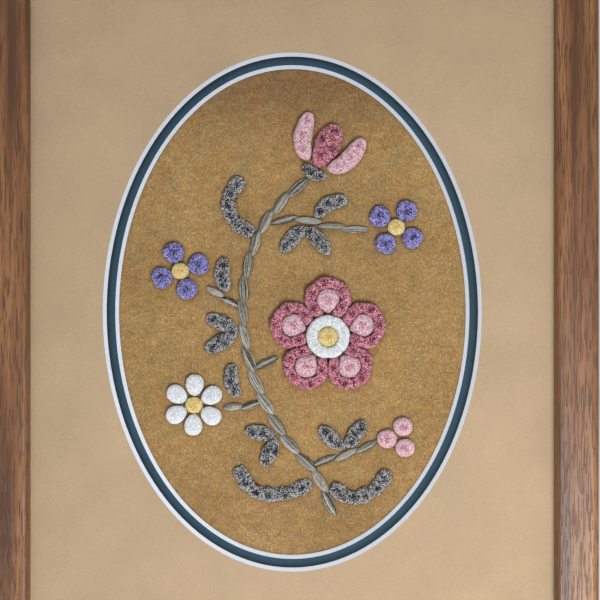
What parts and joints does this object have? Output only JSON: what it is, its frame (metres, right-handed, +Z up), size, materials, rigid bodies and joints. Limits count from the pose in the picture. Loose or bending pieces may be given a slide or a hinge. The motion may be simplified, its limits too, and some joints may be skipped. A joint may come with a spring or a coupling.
{
  "type": "framed moose hair tufting",
  "caption": "Floral spray tufted in dyed moose hair on a suede hide, behind two bevelled oval mats in a plain mitred wooden frame.",
  "frame": {"origin": "on the top rail's flat back face, midway along it, where the frame meets its wall", "axes": "+Z up, the picture faces -Y and its back lies against the wall plane y = 0, +X to the right as seen from the front"},
  "size_m": [0.2214, 0.018, 0.2723],
  "materials": {
    "frame_wood": "satin",
    "backing_card": "matte",
    "suede_hide": "napped suede",
    "teal_mat": "matte, white core",
    "tan_mat": "matte, white core",
    "hair_deep_pink": "clipped hair",
    "hair_pale_pink": "clipped hair",
    "hair_white": "clipped hair",
    "hair_yellow": "clipped hair",
    "hair_violet": "clipped hair",
    "hair_grey": "clipped hair",
    "hair_olive": "laid hair"
  },
  "bodies": {
    "root": {"rail_bottom": "frame_wood", "rail_top": "frame_wood", "rail_left": "frame_wood", "rail_right": "frame_wood", "backing_board": "backing_card", "hide": "suede_hide", "mat_under": "teal_mat", "mat_top": "tan_mat", "bloom_centre": "hair_yellow", "bloom_ring": "hair_white", "bloom_outer_1": "hair_deep_pink", "bloom_inner_1": "hair_pale_pink", "bloom_outer_2": "hair_deep_pink", "bloom_inner_2": "hair_pale_pink", "bloom_outer_3": "hair_deep_pink", "bloom_inner_3": "hair_pale_pink", "bloom_outer_4": "hair_deep_pink", "bloom_inner_4": "hair_pale_pink", "bloom_outer_5": "hair_deep_pink", "bloom_inner_5": "hair_pale_pink", "floret_left_centre": "hair_yellow", "floret_left_petal_1": "hair_violet", "floret_left_petal_2": "hair_violet", "floret_left_petal_3": "hair_violet", "floret_left_petal_4": "hair_violet", "floret_right_centre": "hair_yellow", "floret_right_petal_1": "hair_violet", "floret_right_petal_2": "hair_violet", "floret_right_petal_3": "hair_violet", "floret_right_petal_4": "hair_violet", "star_centre": "hair_yellow", "star_petal_1": "hair_white", "star_petal_2": "hair_white", "star_petal_3": "hair_white", "star_petal_4": "hair_white", "star_petal_5": "hair_white", "star_petal_6": "hair_white", "tulip_heart": "hair_deep_pink", "tulip_left": "hair_pale_pink", "tulip_right": "hair_pale_pink", "tulip_cup": "hair_grey", "berry_1": "hair_pale_pink", "berry_2": "hair_pale_pink", "berry_3": "hair_pale_pink", "spray_foot_left": "hair_grey", "spray_foot_right": "hair_grey", "leaves_low_left": "hair_grey", "leaf_star": "hair_grey", "leaves_mid_left": "hair_grey", "leaf_floret_left": "hair_grey", "spray_high_left": "hair_grey", "leaf_branch_up": "hair_grey", "leaves_branch_down": "hair_grey", "leaves_berry": "hair_grey", "stem_main": "hair_olive", "stem_bloom": "hair_olive", "stem_floret_left": "hair_olive", "stem_floret_right": "hair_olive", "stem_star": "hair_olive", "stem_berry": "hair_olive"}
  },
  "joints": []
}
